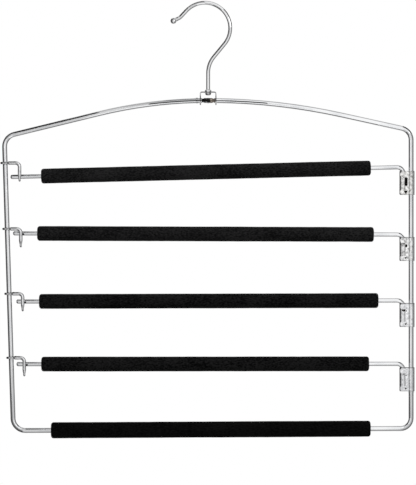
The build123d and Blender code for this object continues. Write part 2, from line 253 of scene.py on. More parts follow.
class EffectGroups:
    """Shader node groups that several finishes share, each built once."""

    SMUDGE_EDGES = (0.42, 0.68)  # Cloud noise at which a smudge begins and is full.
    FADE_EDGES = (0.35, 1.0)  # Shares of its reach at which a stain begins to fade and is gone.
    MOTTLE_EDGES = (0.42, 0.59)  # Foam noise at which the pale colour begins and is full.
    FINE_SHARE = 0.75  # Part of the foam's mottle that is fine.

    def __init__(self) -> None:
        """Build the groups."""
        self.ripple = self._ripple()
        self.patch = self._patch()
        self.cells = self._cells()

    @staticmethod
    def _start(name: str, numbers: dict[str, float],
               outputs: tuple[str, ...]) -> tuple[NodeSketch, bpy.types.Node, bpy.types.Node]:
        """Make an empty group with number inputs and outputs.

        Args:
            name: Name of the group.
            numbers: Input names with their default values.
            outputs: Names of the outputs.

        Returns:
            The sketch, the group's input node and its output node.
        """
        tree = bpy.data.node_groups.new(name, "ShaderNodeTree")
        kind = "NodeSocketFloat"
        for label, value in numbers.items():
            socket = tree.interface.new_socket(label, in_out="INPUT", socket_type=kind)
            socket.default_value = value
        for label in outputs:
            tree.interface.new_socket(label, in_out="OUTPUT", socket_type=kind)
        sketch = NodeSketch(tree)
        return sketch, sketch.add("NodeGroupInput"), sketch.add("NodeGroupOutput")

    def _ripple(self) -> bpy.types.NodeTree:
        """Uneven plated surface: long soft waves, fine pits and cloudy smudges.

        Returns:
            The group, which gives a height and the smudges' mask.
        """
        numbers = {"Wave Scale": 120.0, "Cloud Scale": 42.0, "Pit Scale": 1500.0,
                   "Pit Share": 0.15}
        sketch, given, result = self._start("plated_ripple", numbers, ("Height", "Smudge"))
        place = sketch.add("ShaderNodeTexCoord").outputs["Object"]
        wave = sketch.noise(place, given.outputs["Wave Scale"], detail=2.0)
        pit = sketch.noise(place, given.outputs["Pit Scale"], detail=3.0)
        pits = sketch.math("MULTIPLY", pit, given.outputs["Pit Share"])
        cloud = sketch.noise(place, given.outputs["Cloud Scale"], detail=5.0)
        sketch.feed(result, Height=sketch.math("ADD", wave, pits),
                    Smudge=sketch.span(cloud, 0.0, 1.0, *self.SMUDGE_EDGES))
        return sketch.tree

    def _patch(self) -> bpy.types.NodeTree:
        """Mask of a mark, a stain or painted light or shade: a box or a ball with soft, ragged
        edges.

        Returns:
            The group.
        """
        numbers = {"X": 0.0, "Y": 0.0, "Z": 0.0, "Half X": 0.0, "Half Y": 0.0, "Half Z": 0.0,
                   "Reach": MM, "Ragged": 0.0}
        sketch, given, result = self._start("stain_or_shade_patch", numbers, ("Mask",))
        place = sketch.add("ShaderNodeTexCoord").outputs["Object"]
        apart = sketch.add("ShaderNodeSeparateXYZ")
        sketch.join(place, apart.inputs[0])
        beyond = []
        for axis in "XYZ":
            offset = sketch.math("SUBTRACT", apart.outputs[axis], given.outputs[axis])
            excess = sketch.math("SUBTRACT", sketch.math("ABSOLUTE", offset),
                                 given.outputs[f"Half {axis}"])
            beyond.append(sketch.math("MAXIMUM", excess, 0.0))
        distance = sketch.chain("ShaderNodeVectorMath",
                                sketch.chain("ShaderNodeCombineXYZ", *beyond), operation="LENGTH")
        ragged = sketch.math("SUBTRACT", sketch.noise(place, scale=900.0, detail=4.0), 0.5)
        rough = sketch.math("MULTIPLY", ragged, given.outputs["Ragged"])
        share = sketch.math("DIVIDE", distance, given.outputs["Reach"])
        share = sketch.math("SUBTRACT", share, rough)
        sketch.feed(result, Mask=sketch.span(share, 1.0, 0.0, *self.FADE_EDGES))
        return sketch.tree

    def _cells(self) -> bpy.types.NodeTree:
        """Foam cells: small domes with drawn out streaks, and a mottle of the colour.

        Returns:
            The group, which gives a height and the mottle's mask.
        """
        numbers = {"Cell Scale": 1400.0, "Streak": 0.35}
        sketch, given, result = self._start("foam_cells", numbers, ("Height", "Mottle"))
        place = sketch.add("ShaderNodeTexCoord").outputs["Object"]
        drawn = sketch.chain("ShaderNodeCombineXYZ", given.outputs["Streak"], 1.0, 1.0)
        streaked = sketch.chain("ShaderNodeVectorMath", place, drawn, operation="MULTIPLY")
        cell = sketch.chain("ShaderNodeTexVoronoi", streaked, given.outputs["Cell Scale"],
                            feature="SMOOTH_F1")
        grain = sketch.noise(streaked, scale=2600.0, detail=3.0)
        fine = sketch.noise(streaked, scale=1150.0, detail=3.0)
        broad = sketch.noise(streaked, scale=60.0, detail=3.0)
        blend = sketch.math("ADD", sketch.math("MULTIPLY", fine, self.FINE_SHARE),
                            sketch.math("MULTIPLY", broad, 1.0 - self.FINE_SHARE))
        sketch.feed(result, Height=sketch.math("SUBTRACT", grain, cell),
                    Mottle=sketch.span(blend, 0.0, 1.0, *self.MOTTLE_EDGES))
        return sketch.tree


def node_material(name: str) -> tuple[bpy.types.Material, NodeSketch, bpy.types.Node]:
    """Start a material that is built from nodes.

    Args:
        name: Name of the material.

    Returns:
        The material, a sketch of its nodes and its Principled shader.
    """
    material = bpy.data.materials.new(name)
    material.use_nodes = True
    sketch = NodeSketch(material.node_tree)
    return material, sketch, material.node_tree.nodes["Principled BSDF"]


def bare_material(name: str) -> tuple[bpy.types.Material, NodeSketch, bpy.types.NodeSocket]:
    """Start a studio material, which has no Principled shader.

    Args:
        name: Name of the material.

    Returns:
        The material, a sketch of its nodes and the input for its shader.
    """
    material, sketch, shader = node_material(name)
    sketch.tree.nodes.remove(shader)
    return material, sketch, sketch.tree.nodes["Material Output"].inputs[0]


def add_mesh(name: str, sketch: bmesh.types.BMesh,
             *materials: bpy.types.Material) -> bpy.types.Object:
    """Turn a sketch into an object of the scene.

    Args:
        name: Name of the object and its mesh.
        sketch: Its shape, which is freed.
        *materials: Its material slots.

    Returns:
        The new object.
    """
    mesh = bpy.data.meshes.new(name)
    sketch.to_mesh(mesh)
    sketch.free()
    for material in materials:
        mesh.materials.append(material)
    piece = bpy.data.objects.new(name, mesh)
    bpy.context.scene.collection.objects.link(piece)
    return piece


def set_down(sketch: bmesh.types.BMesh, axis: Triple, along: Vector, place: Vector) -> None:
    """Move a closed sketch from the origin to its place and turn its faces outwards.

    Args:
        sketch: Mesh that lies at the origin, round an axis.
        axis: That axis.
        along: Direction that the axis gets.
        place: Point to which the origin moves.
    """
    turn = Vector(axis).rotation_difference(along.normalized()).to_matrix().to_4x4()
    bmesh.ops.transform(sketch, matrix=Matrix.Translation(place) @ turn, verts=sketch.verts)
    bmesh.ops.recalc_face_normals(sketch, faces=sketch.faces)


@dataclass(frozen=True)
class StainOrShade:
    """Mark on the plating, a real stain or light and shade painted into its colour: a box with
    soft edges, or a ball where it has no size.

    Reach is the width of the soft edge, ragged says how torn it is, strength is the tint's share
    in the middle, and metal how metallic the surface stays there.
    """

    place: Triple
    tint: Tint
    reach: float
    ragged: float
    half: Triple = (0.0, 0.0, 0.0)
    strength: float = 1.0
    metal: float = 1.0

    def mask(self, sketch: NodeSketch, groups: EffectGroups) -> bpy.types.NodeSocket:
        """Add the mark's mask to a material.

        Args:
            sketch: The material's nodes.
            groups: Shared shader groups.

        Returns:
            The mask's socket.
        """
        node = sketch.add("ShaderNodeGroup", node_tree=groups.patch)
        for axis, centre, half in zip("XYZ", self.place, self.half):
            node.inputs[axis].default_value = centre
            node.inputs[f"Half {axis}"].default_value = half
        sketch.feed(node, Reach=self.reach, Ragged=self.ragged)
        return sketch.math("MULTIPLY", node.outputs["Mask"], self.strength)


@dataclass(frozen=True)
class PlatedFinish:
    """Bright plated steel. Polish is its roughness where it is clean and where it is smudged."""

    name: str
    light: Triple = (0.94, 0.945, 0.955)
    dull: Triple = (0.8, 0.81, 0.83)
    polish: tuple[float, float] = (0.05, 0.16)
    wave_scale: float = 120.0
    cloud_scale: float = 42.0
    ripple_depth: float = 0.012 * MM
    metal: float = 1.0
    stains_and_shade: tuple[StainOrShade, ...] = ()
    stain_and_shade_rough: float = 0.3

    def material(self, groups: EffectGroups) -> bpy.types.Material:
        """Build the finish.

        Args:
            groups: Shared shader groups.

        Returns:
            The new material.
        """
        material, sketch, shader = node_material(self.name)
        ripple = sketch.add("ShaderNodeGroup", node_tree=groups.ripple)
        sketch.feed(ripple, Wave_Scale=self.wave_scale, Cloud_Scale=self.cloud_scale)
        smudge = ripple.outputs["Smudge"]
        colour = sketch.mix(smudge, (*self.light, 1.0), (*self.dull, 1.0))
        rough = sketch.span(smudge, *self.polish)
        metal = self.metal
        for stain_or_shade in self.stains_and_shade:
            mask = stain_or_shade.mask(sketch, groups)
            colour = sketch.mix(mask, colour, (*stain_or_shade.tint.value, 1.0))
            rough = sketch.math("ADD", rough, sketch.math("MULTIPLY", mask, self.stain_and_shade_rough))
            if stain_or_shade.metal < 1.0:
                metal = sketch.math("MULTIPLY", metal, sketch.span(mask, 1.0, stain_or_shade.metal))
        bump = sketch.add("ShaderNodeBump")
        sketch.feed(bump, Height=ripple.outputs["Height"], Distance=self.ripple_depth)
        sketch.feed(shader, Base_Color=colour, Roughness=rough, Metallic=metal,
                    Normal=bump.outputs["Normal"])
        return material


@dataclass(frozen=True)
class PressedSheet:
    """How one pressed sheet took its plating, more uneven and cloudier than drawn wire.

    Cool is its tint, blue above nought and cream below.
    """

    cool: float = 0.0
    dull: float = 0.36
    wave_scale: float = 520.0
    ripple_depth: float = 0.14 * MM
    light: float = 0.965
    cloud_scale: float = 460.0

    def finish(self, name: str, stains_and_shade: tuple[StainOrShade, ...]) -> PlatedFinish:
        """Turn the sheet's looks into a finish."""
        return PlatedFinish(name, light=self._tinted(self.light), dull=self._tinted(self.dull),
                            wave_scale=self.wave_scale, cloud_scale=self.cloud_scale,
                            ripple_depth=self.ripple_depth, stains_and_shade=stains_and_shade)

    def _tinted(self, level: float) -> Triple:
        """Grey of a level with the sheet's tint."""
        return (level - self.cool, level - self.cool / 2, level + self.cool)


@dataclass(frozen=True)
class FoamFinish:
    """Black foam, as a moulded skin or as a cut face. Matt is its least and most roughness."""

    name: str
    dark: Triple
    pale: Triple
    cell_scale: float = 1400.0
    streak: float = 0.5
    depth: float = 0.12 * MM
    shine: float = 0.04
    matt: tuple[float, float] = (0.8, 0.95)

    def material(self, groups: EffectGroups) -> bpy.types.Material:
        """Build the finish.

        Args:
            groups: Shared shader groups.

        Returns:
            The new material.
        """
        material, sketch, shader = node_material(self.name)
        cells = sketch.add("ShaderNodeGroup", node_tree=groups.cells)
        sketch.feed(cells, Cell_Scale=self.cell_scale, Streak=self.streak)
        mottle = cells.outputs["Mottle"]
        colour = sketch.mix(mottle, (*self.dark, 1.0), (*self.pale, 1.0))
        bump = sketch.add("ShaderNodeBump")
        sketch.feed(bump, Height=cells.outputs["Height"], Distance=self.depth)
        sketch.feed(shader, Base_Color=colour, Roughness=sketch.span(mottle, *self.matt),
                    Specular_IOR_Level=self.shine, Normal=bump.outputs["Normal"])
        return material


@dataclass(frozen=True)
class TubeMeasure:
    """Place and size of a plain tube of the frame."""

    start: Vector
    end: Vector
    outer: float
    bore: float

    @classmethod
    def of(cls, node: bpy.types.Object, end_zone: float) -> TubeMeasure:
        """Measure a tube that lies roughly along X.

        Args:
            node: The frame's object for the tube.
            end_zone: Length at each end whose points give that end's centre.

        Returns:
            The tube's axis ends and radii.
        """
        points = [vertex.co.copy() for vertex in node.data.vertices]
        lowest = min(point.x for point in points)
        highest = max(point.x for point in points)
        left = cls._middle([point for point in points if point.x < lowest + end_zone])
        right = cls._middle([point for point in points if point.x > highest - end_zone])
        along = (right - left).normalized()
        reaches = [(point - left).dot(along) for point in points]
        spans = [(point - left).cross(along).length for point in points]
        return cls(left + along * min(reaches), left + along * max(reaches), max(spans),
                   min(spans))

    @property
    def length(self) -> float:
        """Length along the axis."""
        return (self.end - self.start).length

    @staticmethod
    def _middle(points: list[Vector]) -> Vector:
        """Middle of the box round some points."""
        return Vector([(min(values) + max(values)) / 2 for values in zip(*points)])


@dataclass
class FoamSleeve:
    """Foam tube pushed onto a wire, with moulded skin and cut ends.

    The dents are three waves, broad, close and fine, each with its pitch per millimetre and its
    share of the dents' depth.
    """

    node: str
    body: str
    skin: FoamFinish
    cut: FoamFinish
    seed: float
    rim_radius: float = 2.4 * MM
    rim_segments: int = 8
    bore_round: float = 0.45 * MM
    bore_segments: int = 3
    steps: int = 80
    rings: int = 170
    end_rings: int = 4
    spoke_length: float = 1.0 * MM
    cut_zone: float = 0.8 * MM
    dent: float = 0.16 * MM
    dent_pitches: Triple = (0.03, 0.16, 0.9)
    dent_shares: Triple = (0.6, 0.4, 0.15)
    end_pucker: float = 0.25 * MM

    def build(self, frame: dict, groups: EffectGroups) -> bpy.types.Object:
        """Model the sleeve over its node and dress it.

        Args:
            groups: Shared shader groups.

        Returns:
            The new object.
        """
        tube = TubeMeasure.of(frame["nodes"][self.node], self.rim_radius)
        sketch = bmesh.new()
        for step in (self._revolve, self._round_rims, self._divide, self._soften,
                     self._mark_faces):
            step(sketch, tube)
        set_down(sketch, ALONG_X, tube.end - tube.start, tube.start)
        sleeve = add_mesh(f"foam_{self.node}", sketch, self.skin.material(groups),
                          self.cut.material(groups))
        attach(sleeve, self.body)
        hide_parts(self.node)
        return sleeve

    def _revolve(self, sketch: bmesh.types.BMesh, tube: TubeMeasure) -> None:
        """Spin the wall's section round X, with its left end at the origin.

        Args:
            sketch: Empty mesh.
            tube: Measures of the sleeve.
        """
        corners = ((0.0, tube.bore), (0.0, tube.outer), (tube.length, tube.outer),
                   (tube.length, tube.bore))
        points = [sketch.verts.new((x, 0.0, z)) for x, z in corners]
        edges = [sketch.edges.new((points[i - 1], points[i])) for i in range(len(points))]
        bmesh.ops.spin(sketch, geom=points + edges, cent=ORIGIN, axis=ALONG_X,
                       angle=math.tau, steps=self.steps, use_merge=True)
        bmesh.ops.remove_doubles(sketch, verts=sketch.verts, dist=HAIR)

    def _round_rims(self, sketch: bmesh.types.BMesh, tube: TubeMeasure) -> None:
        """Round the outer rims and break the bore's edges.

        Args:
            sketch: Mesh of the plain tube.
            tube: Measures of the sleeve.
        """
        for radius, offset, segments in ((tube.outer, self.rim_radius, self.rim_segments),
                                         (tube.bore, self.bore_round, self.bore_segments)):
            rims = [edge for edge in sketch.edges if self._runs_round(edge)
                    and abs(self._radius(edge.verts[0]) - radius) < SLACK]
            bmesh.ops.bevel(sketch, geom=rims, offset=offset, offset_type="OFFSET",
                            affect="EDGES", segments=segments, profile=0.5, material=-1)

    def _divide(self, sketch: bmesh.types.BMesh, tube: TubeMeasure) -> None:
        """Cut the long skin and the end faces into rings that can take dents.

        Args:
            sketch: Mesh of the tube with its rounded rims.
            tube: Measures of the sleeve.
        """
        skin = [edge for edge in sketch.edges if edge.calc_length() > tube.length / 2
                and self._radius(edge.verts[0]) > tube.outer - SLACK]
        bmesh.ops.subdivide_edges(sketch, edges=skin, cuts=self.rings, use_grid_fill=True)
        spokes = [edge for edge in sketch.edges
                  if abs(edge.verts[0].co.x - edge.verts[1].co.x) < HAIR
                  and edge.calc_length() > self.spoke_length and not self._runs_round(edge)]
        bmesh.ops.subdivide_edges(sketch, edges=spokes, cuts=self.end_rings, use_grid_fill=True)

    def _soften(self, sketch: bmesh.types.BMesh, tube: TubeMeasure) -> None:
        """Press shallow dents into the foam and pucker its cut ends.

        Args:
            sketch: Mesh of the finely divided tube.
            tube: Measures of the sleeve.
        """
        shift = Vector((self.seed, self.seed * 2, -self.seed))
        for vertex in sketch.verts:
            radius = self._radius(vertex)
            if radius < tube.bore + SLACK:
                continue
            place = vertex.co / MM
            waves = [noise.noise(place * pitch + turned)
                     for pitch, turned in zip(self.dent_pitches, (shift, -shift, shift))]
            inward = self.dent * sum(share * wave for share, wave in zip(self.dent_shares, waves))
            spoke = Vector((0.0, vertex.co.y, vertex.co.z)) / radius
            depth = (radius - tube.bore) / (tube.outer - tube.bore)
            vertex.co -= spoke * inward * depth
            end_gap = min(vertex.co.x, tube.length - vertex.co.x)
            end_share = max(0.0, 1.0 - end_gap / self.rim_radius)
            push = self.end_pucker * end_share * (0.5 + waves[1]) * (1.0 - depth)
            vertex.co.x += push if vertex.co.x < tube.length / 2 else -push

    def _mark_faces(self, sketch: bmesh.types.BMesh, tube: TubeMeasure) -> None:
        """Give the cut ends their own material slot and shade everything smooth.

        Args:
            sketch: The sleeve's mesh.
            tube: Measures of the sleeve.
        """
        for face in sketch.faces:
            along = face.calc_center_median().x
            near_end = min(along, tube.length - along) < self.cut_zone
            face.material_index = (Cut.END if near_end else Cut.SKIN).value
            face.smooth = True

    @staticmethod
    def _radius(vertex: bmesh.types.BMVert) -> float:
        """Distance of a vertex from the X axis."""
        return math.hypot(vertex.co.y, vertex.co.z)

    @classmethod
    def _runs_round(cls, edge: bmesh.types.BMEdge) -> bool:
        """Tell whether an edge is part of a ring round the X axis."""
        first, second = ((vertex.co.x, cls._radius(vertex)) for vertex in edge.verts)
        return math.dist(first, second) < HAIR


@dataclass
class WeldBead:
    """Uneven ring of melted steel round a welded joint.

    Lump pitch is the lumps' waves per millimetre, and lump share their height on the bead.
    """

    name: str
    centre: Vector
    axis: Triple
    collar: float
    bead: float
    finish: PlatedFinish
    seed: float
    sides: int = 12
    steps: int = 40
    lump_pitch: float = 1.3
    lump_share: float = 0.6

    def build(self, groups: EffectGroups) -> bpy.types.Object:
        """Model the bead round its axis.

        Args:
            groups: Shared shader groups.

        Returns:
            The new object.
        """
        sketch = bmesh.new()
        bmesh.ops.create_circle(sketch, segments=self.sides, radius=self.bead,
                                matrix=Matrix.Translation((self.collar, 0.0, 0.0)))
        bmesh.ops.spin(sketch, geom=[*sketch.verts, *sketch.edges], cent=ORIGIN, axis=ALONG_Y,
                       angle=math.tau, steps=self.steps, use_merge=True)
        bmesh.ops.remove_doubles(sketch, verts=sketch.verts, dist=HAIR)
        shift = Vector((self.seed, 0.0, 0.0))
        for vertex in sketch.verts:
            lump = noise.noise(vertex.co / MM * self.lump_pitch + shift)
            vertex.co += vertex.co.normalized() * lump * self.bead * self.lump_share
        bmesh.ops.smooth_vert(sketch, verts=sketch.verts, factor=0.5, use_axis_x=True,
                              use_axis_y=True, use_axis_z=True)
        set_down(sketch, ALONG_Y, Vector(self.axis), self.centre)
        for face in sketch.faces:
            face.smooth = True
        bead = add_mesh(self.name, sketch, self.finish.material(groups))
        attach(bead, "frame")
        return bead


@dataclass(frozen=True)
class Wires:
    """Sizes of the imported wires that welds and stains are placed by."""

    upright_radius: float = 2.3 * MM
    arm_radius: float = 2.0 * MM
    catch_radius: float = 1.65 * MM
    nib_length: float = 1.9 * MM


@dataclass
class Welds:
    """The frame's weld beads: one behind every catch and one round the wire's butted ends."""

    tiers: int
    butt: Vector
    wires: Wires = Wires()
    catch_collar: float = 0.95 * MM
    catch_bead: float = 0.36 * MM
    catch_seed: float = 7.0
    butt_collar: float = 2.0 * MM
    butt_bead: float = 0.5 * MM
    butt_seed: float = 40.0

    def contact(self, tier: int) -> Vector:
        """Find the point where a catch touches the left upright.

        Args:
            tier: Number of the catch, from the top down.

        Returns:
            The point on the upright's front.
        """
        low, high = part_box(f"arm_catch_{tier}")
        radius = self.wires.upright_radius
        return Vector((low[0] + self.wires.nib_length + radius, -radius,
                       high[2] - self.wires.catch_radius))

    def contacts(self) -> list[Vector]:
        """Where all the catches are welded on, from the top down."""
        return [self.contact(tier) for tier in range(1, self.tiers + 1)]

    def build(self, groups: EffectGroups) -> None:
        """Model every bead.

        Args:
            groups: Shared shader groups.
        """
        for tier, place in enumerate(self.contacts(), start=1):
            finish = PlatedFinish(f"catch_weld_{tier}", polish=(0.2, 0.4))
            bead = WeldBead(f"weld_flash_{tier}", place, ALONG_Y, self.catch_collar,
                            self.catch_bead, finish, tier * self.catch_seed)
            LOG.info("%s built", bead.build(groups).name)
        burnt = PlatedFinish("butt_weld", light=(0.02, 0.018, 0.016), dull=(0.06, 0.048, 0.04),
                             polish=(0.35, 0.6), metal=0.65)
        bead = WeldBead("weld_butt", self.butt, ALONG_X, self.butt_collar, self.butt_bead, burnt,
                        self.butt_seed)
        LOG.info("%s built", bead.build(groups).name)


@dataclass
class Plating:
    """Gives the frame's plated nodes their finishes.

    The marks beside the catch's leg, one for the top arm and one for the lower arms, are a painted
    shadow of the leg on the arm: their shift and lift from the leg, and half their length.
    """

    butt: Vector
    wires: Wires = Wires()
    saddle_edge: float = 5.1 * MM
    plate_lift: float = 9.0 * MM
    scorch_reach: float = 2.6 * MM
    arm_tip: float = 5.0 * MM
    # Where the painted shadow of the catch's leg falls on the top arm and on the lower arms.
    top_leg_shadow: Triple = mm(-2.4, 1.8, 5.6)
    lower_leg_shadow: Triple = mm(1.7, -0.7, 0.5)
    first_burnt_run: int = 3
    run_half: float = 1.2 * MM
    sheet: float = 0.8 * MM
    leaf_room: float = 2.0 * MM
    brackets: tuple[PressedSheet, ...] = (
        PressedSheet(cool=-0.009),
        PressedSheet(),
        PressedSheet(cool=0.01, dull=0.624, wave_scale=300.0, ripple_depth=0.085 * MM),
        PressedSheet(cool=0.012, dull=0.72, wave_scale=220.0, ripple_depth=0.065 * MM))

    def dress(self, frame: dict, groups: EffectGroups, welds: list[Vector]) -> None:
        """Put a material on every plated node.

        Args:
            groups: Shared shader groups.
            welds: Where the catches are welded on.
        """
        heat = tuple(self._weld_heat(place) for place in welds)
        finishes = {
            "hook": PlatedFinish("hook_wire", light=(0.97, 0.972, 0.98), dull=(0.88, 0.885, 0.9),
                                 polish=(0.03, 0.09)),
            "frame_wire": PlatedFinish("frame_wire", stains_and_shade=heat + self._butt_dark_marks()),
            "hook_saddle": PressedSheet().finish("saddle_strip", self._saddle_edges())}
        for tier, (weld, sheet) in enumerate(zip(welds, self.brackets), start=1):
            finishes[f"arm_wire_{tier}"] = PlatedFinish(f"arm_plating_{tier}",
                                                        stains_and_shade=self._arm_painted_shade(frame, tier))
            finishes[f"arm_catch_{tier}"] = PlatedFinish(
                f"catch_plating_{tier}", dull=(0.66, 0.66, 0.67), wave_scale=300.0,
                cloud_scale=380.0, ripple_depth=0.045 * MM, stains_and_shade=self._catch_stains(tier, weld))
            finishes[f"hinge_bracket_{tier}"] = sheet.finish(f"bracket_plating_{tier}",
                                                             self._bracket_painted_light(tier))
        for node, finish in finishes.items():
            material = finish.material(groups)
            for slot in frame["nodes"][node].material_slots:
                slot.material = material
            LOG.info("%s dressed as %s", node, material.name)

    def _weld_heat(self, place: Vector) -> StainOrShade:
        """Heat tint round a catch's weld."""
        return StainOrShade(tuple(place), Tint.WELD_STRAW, self.scorch_reach, ragged=0.8, strength=0.25)

    def _butt_dark_marks(self) -> tuple[StainOrShade, ...]:
        """Darken the frame's wire round its butted ends.

        Returns:
            A brown mark at the right and a black one in the middle.
        """
        brown = self.butt + Vector(mm(3.6, 0.0, 0.2))
        black = self.butt + Vector(mm(-1.9, 0.0, 1.1))
        return (StainOrShade(tuple(brown), Tint.BUTT_BROWN, 2.0 * MM, ragged=2.0,
                      half=mm(1.7, 3.0, 1.4), strength=0.85, metal=0.7),
                StainOrShade(tuple(black), Tint.BUTT_BLACK, 1.3 * MM, ragged=1.6,
                      half=mm(3.1, 3.0, 1.9), metal=0.65))

    def _saddle_edges(self) -> tuple[StainOrShade, ...]:
        """Paint shade on the edges of the saddle's strip.

        Returns:
            Painted shade on the edges, and darker painted shade on the plate's edges, front and
            back.
        """
        edges = []
        for side in (-1.0, 1.0):
            place = self.butt + Vector((0.0, side * self.saddle_edge, 0.0))
            plate = place + Vector((0.0, 0.0, self.plate_lift))
            # Painted shade along the strip's edge and darker along the plate's edge.
            edges += [StainOrShade(tuple(place), Tint.STRIP_EDGE_SHADE, 0.1 * MM, ragged=0.5,
                            half=mm(9.0, 0.95, 12.0), strength=0.6),
                      StainOrShade(tuple(plate), Tint.PLATE_EDGE_SHADE, 0.1 * MM, ragged=0.5,
                            half=mm(9.0, 0.95, 1.9))]
        return tuple(edges)

    def _arm_painted_shade(self, frame: dict, tier: int) -> tuple[StainOrShade, ...]:
        """Paint shade on an arm: on its end inside the bracket and beside the catch's leg.

        Args:
            tier: Number of the arm, from the top down.

        Returns:
            Painted shade on the end inside the bracket, and a painted shadow of the catch's leg
            beside it.
        """
        arm_low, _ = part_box(f"arm_wire_{tier}")
        low, high = (Vector(corner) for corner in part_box(f"hinge_bracket_{tier}"))
        inside = (high + low) / 2 + Vector(mm(0.0, 0.0, -0.5))
        tip = [vertex.co.z for vertex in frame["nodes"][f"arm_wire_{tier}"].data.vertices
               if vertex.co.x < arm_low[0] + self.arm_tip]
        height = (min(tip) + max(tip)) / 2
        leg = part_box(f"arm_catch_{tier}")[1][0] - self.wires.catch_radius
        shift, lift, half_length = self.top_leg_shadow if tier == 1 else self.lower_leg_shadow
        leg_shadow = (leg + shift, -self.wires.arm_radius, height + lift)
        # Painted shade on the arm's end inside the bracket.
        return (StainOrShade(tuple(inside), Tint.ARM_INSIDE_SHADE, 0.3 * MM, ragged=0.4,
                      half=tuple((high - low) / 2)),
                # Painted shadow of the catch's leg on the arm's front.
                StainOrShade(leg_shadow, Tint.ARM_LEG_SHADOW, 1.3 * MM, ragged=0.9,
                      half=(half_length, 0.6 * MM, 0.2 * MM)))

    def _catch_stains(self, tier: int, weld: Vector) -> tuple[StainOrShade, ...]:
        """Mark a catch's burnt places.

        Args:
            tier: Number of the catch, from the top down.
            weld: Where it is welded on.

        Returns:
            The weld's heat, the blackened nib and, on the lower catches, a burnt run.
        """
        low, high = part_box(f"arm_catch_{tier}")
        run = high[2] - self.wires.catch_radius
        front = weld.y - self.wires.catch_radius
        nib = self.wires.nib_length
        stains_and_shade = [self._weld_heat(weld),
                  StainOrShade((low[0], front, run), Tint.BURNT_NIB, 0.35 * MM, ragged=0.5,
                        half=(nib, 2.0 * MM, 1.5 * MM), metal=0.3)]
        if tier >= self.first_burnt_run:
            start = low[0] + nib + 2 * self.wires.upright_radius
            place = (start + self.run_half, front, run + self.run_half)
            stains_and_shade.append(StainOrShade(place, Tint.BURNT_RUN, 0.4 * MM, ragged=0.4,
                                half=(self.run_half, 2.0 * MM, 0.5 * MM)))
        return tuple(stains_and_shade)

    def _bracket_painted_light(self, tier: int) -> tuple[StainOrShade, ...]:
        """Paint light and shade on a bracket.

        Args:
            tier: Number of the bracket, from the top down.

        Returns:
            A painted highlight down the barrel's outer side, painted shade inside, and painted
            shade along the top edge and the foot's edge.
        """
        low, high = (Vector(corner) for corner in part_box(f"hinge_bracket_{tier}"))
        start = low.x + self.sheet
        stop = high.x - self.sheet - self.wires.upright_radius
        middle, half = (low + high) / 2, (high - low) / 2
        # Painted highlight down the barrel's outer side.
        return (StainOrShade((high.x, middle.y, middle.z), Tint.BARREL_HIGHLIGHT, 0.9 * MM, ragged=0.3,
                      half=(0.7 * MM, 4.0 * MM, half.z)),
                # Painted shade inside the bracket.
                StainOrShade(((start + stop) / 2, 0.0, middle.z), Tint.BRACKET_INSIDE_SHADE, 0.12 * MM,
                      ragged=0.3, half=((stop - start) / 2, self.leaf_room, half.z)),
                # Painted shade along the top edge and the foot's edge.
                StainOrShade((middle.x, middle.y, high.z), Tint.TOP_EDGE_SHADE, 0.35 * MM, ragged=0.6,
                      half=(half.x, half.y, 0.3 * MM), strength=0.35 if tier == 1 else 0.85),
                StainOrShade((middle.x, middle.y, low.z), Tint.FOOT_EDGE_SHADE, 0.3 * MM, ragged=0.6,
                      half=(half.x, half.y, 0.15 * MM), strength=0.6))


@dataclass(frozen=True)
class StudioCard:
    """Curved card beside the hanger that only shows in the plating's reflections.

    Front and back are the angles off the camera's line at which its edges are seen from the
    middle of its bend. That is the object's middle unless a centre is given.
    """

    name: str
    side: Side
    tone: Tone
    front: float
    back: float
    radius: float = 0.5
    centre: Triple | None = None
    steps: int = 24

    def build(self, middle: Vector) -> bpy.types.Object:
        """Bend the card round the camera's line.

        Args:
            middle: Centre of the object.

        Returns:
            The new object.
        """
        sketch = bmesh.new()
        start, stop = (math.radians(angle) for angle in self.side.value)
        ends = [sketch.verts.new((self.radius, self._depth(angle), 0.0))
                for angle in (self.front, self.back)]
        edge = sketch.edges.new(ends)
        turn = Matrix.Rotation(-start, 4, "Y")
        bmesh.ops.transform(sketch, matrix=turn, verts=ends)
        bmesh.ops.spin(sketch, geom=ends + [edge], cent=ORIGIN, axis=TOWARDS_CAMERA,
                       angle=stop - start, steps=self.steps)
        place = middle if self.centre is None else Vector(self.centre)
        bmesh.ops.translate(sketch, vec=place, verts=sketch.verts)
        return stage_card(self.name, sketch, self.tone)

    def _depth(self, angle: float) -> float:
        """Depth at which the card is seen from the middle under an angle off the camera's line."""
        return -self.radius / math.tan(math.radians(angle))


@dataclass(frozen=True)
class FlatCard:
    """Flat upright card that only shows in the plating's reflections."""

    name: str
    tone: Tone
    left: float
    right: float
    bottom: float
    top: float
    depth: float

    def build(self) -> bpy.types.Object:
        """Make the card facing the object.

        Returns:
            The new object.
        """
        place = Vector(((self.left + self.right) / 2, self.depth, (self.bottom + self.top) / 2))
        size = Matrix.Diagonal((self.right - self.left, self.top - self.bottom, 1.0, 1.0))
        upright = Matrix.Rotation(math.pi / 2, 4, "X")
        sketch = bmesh.new()
        bmesh.ops.create_grid(sketch, x_segments=1, y_segments=1, size=0.5,
                              matrix=Matrix.Translation(place) @ upright @ size)
        return stage_card(self.name, sketch, self.tone)


def stage_card(name: str, sketch: bmesh.types.BMesh, tone: Tone) -> bpy.types.Object:
    """Turn a sketch into a card that glows evenly and that only reflections see.

    Args:
        name: Name of the card.
        sketch: Its shape, which is freed.
        tone: Its brightness.

    Returns:
        The new object.
    """
    material, nodes, surface = bare_material(name)
    nodes.join(nodes.chain("ShaderNodeEmission", WHITE, tone.value), surface)
    card = add_mesh(name, sketch, material)
    card.visible_camera = False
    card.visible_diffuse = False
    card.visible_shadow = False
    card.visible_transmission = False
    card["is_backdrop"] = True
    return card


